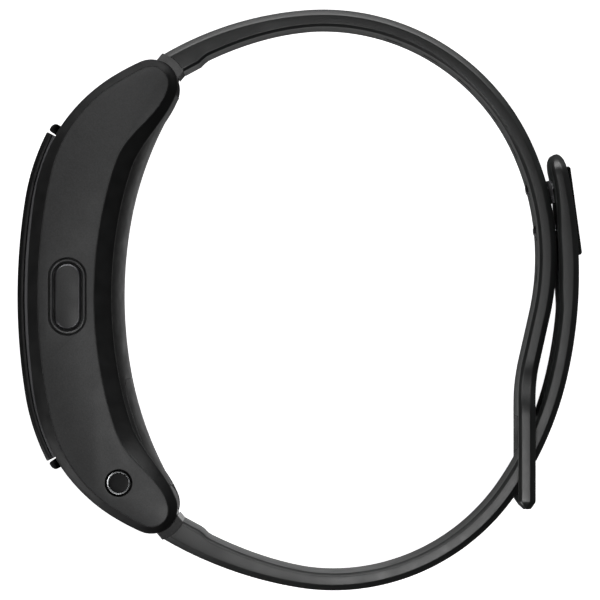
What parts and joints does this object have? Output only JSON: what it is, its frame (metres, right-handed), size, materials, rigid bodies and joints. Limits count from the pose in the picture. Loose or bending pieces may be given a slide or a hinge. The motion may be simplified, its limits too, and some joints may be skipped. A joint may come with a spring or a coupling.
{
  "type": "fitness tracker band",
  "caption": "Wrist fitness tracker: curved lift-out display module in a cradle with side keys, a port flap and a peg-and-loop rubber strap, lying on its side.",
  "frame": {"origin": "centre of the band's outline, at the level of the far flank that it lies on", "axes": "+Z across the wrist from the far flank to the near flank with the function key, +Y towards the upper strap, +X from the display to the clasp"},
  "size_m": [0.0669, 0.0688, 0.022],
  "materials": {
    "case_plastic": "fine matte moulding",
    "flank_plate": "fine satin coating",
    "gloss_plastic": "polished black",
    "cover_glass": "polished, black behind",
    "dark_metal": "dark polished plating",
    "bright_metal": "bright polished plating",
    "steel": "drawn or stamped",
    "strap_rubber": "soft matte elastomer",
    "circuit_board": "solder mask",
    "black_chip": "moulded epoxy",
    "battery_foil": "laminated foil",
    "gold_contacts": "gold plating",
    "display_panel": "dark panel",
    "soft_seal": "soft silicone"
  },
  "bodies": {
    "cradle": {"cradle_frame": "case_plastic", "side_plate_near": "flank_plate", "side_plate_far": "flank_plate", "rear_cover": "case_plastic", "port_hinge_pin": "steel", "port_gasket": "soft_seal", "key_ring": "gloss_plastic", "key_switch": "steel", "button_spring_near": "steel", "button_spring_far": "steel", "usb_socket": "steel", "charge_board": "circuit_board", "contact_strip": "black_chip", "upper_strap": "strap_rubber", "lower_strap": "strap_rubber", "upper_connector": "gloss_plastic", "lower_connector": "gloss_plastic", "upper_spring_bar": "steel", "lower_spring_bar": "steel"},
    "function_key_body": {"function_key": "flank_plate"},
    "near_button": {"release_button_near": "bright_metal", "button_inlay_near": "gloss_plastic", "latch_arm_near": "steel"},
    "far_button": {"release_button_far": "bright_metal", "button_inlay_far": "gloss_plastic", "latch_arm_far": "steel"},
    "display_module": {"cover_glass": "cover_glass", "module_bezel": "dark_metal", "display_panel": "display_panel", "module_tray": "case_plastic", "main_board": "circuit_board", "shield_can": "steel", "motion_sensor": "black_chip", "battery": "battery_foil", "vibration_motor": "steel", "contact_pads": "gold_contacts", "end_trim_upper": "bright_metal", "end_trim_lower": "bright_metal"},
    "port_flap": {"port_cover": "case_plastic"},
    "free_tip": {"strap_tip": "strap_rubber", "clasp_plate": "dark_metal", "clasp_base": "dark_metal", "peg_upper": "dark_metal", "peg_lower": "dark_metal"}
  },
  "joints": [
    {"name": "function_key_press", "type": "slide", "parent": "cradle", "child": "function_key_body", "axis": [0, 0, -1], "range_m": [0, 0.0003], "stiffness_N_per_m": 600},
    {"name": "near_button_press", "type": "slide", "parent": "cradle", "child": "near_button", "axis": [0, 0, -1], "range_m": [0, 0.0008], "stiffness_N_per_m": 400, "deforming": ["button_spring_near"]},
    {"name": "far_button_press", "type": "slide", "parent": "cradle", "child": "far_button", "axis": [0, 0, 1], "range_m": [0, 0.0008], "stiffness_N_per_m": 400, "deforming": ["button_spring_far"]},
    {"name": "module_lift", "type": "slide", "parent": "cradle", "child": "display_module", "axis": [-1, 0, 0], "range_m": [0, 0.014]},
    {"name": "port_flap_open", "type": "hinge", "parent": "cradle", "child": "port_flap", "pos_m": [-0.02087, -0.00962, 0.011], "axis": [0, 0, 1], "range_deg": [0, 75]},
    {"name": "tip_peel", "type": "hinge", "parent": "cradle", "child": "free_tip", "pos_m": [0.03093, -0.01206, 0.011], "axis": [0, 0, -1], "range_deg": [0, 35]}
  ]
}
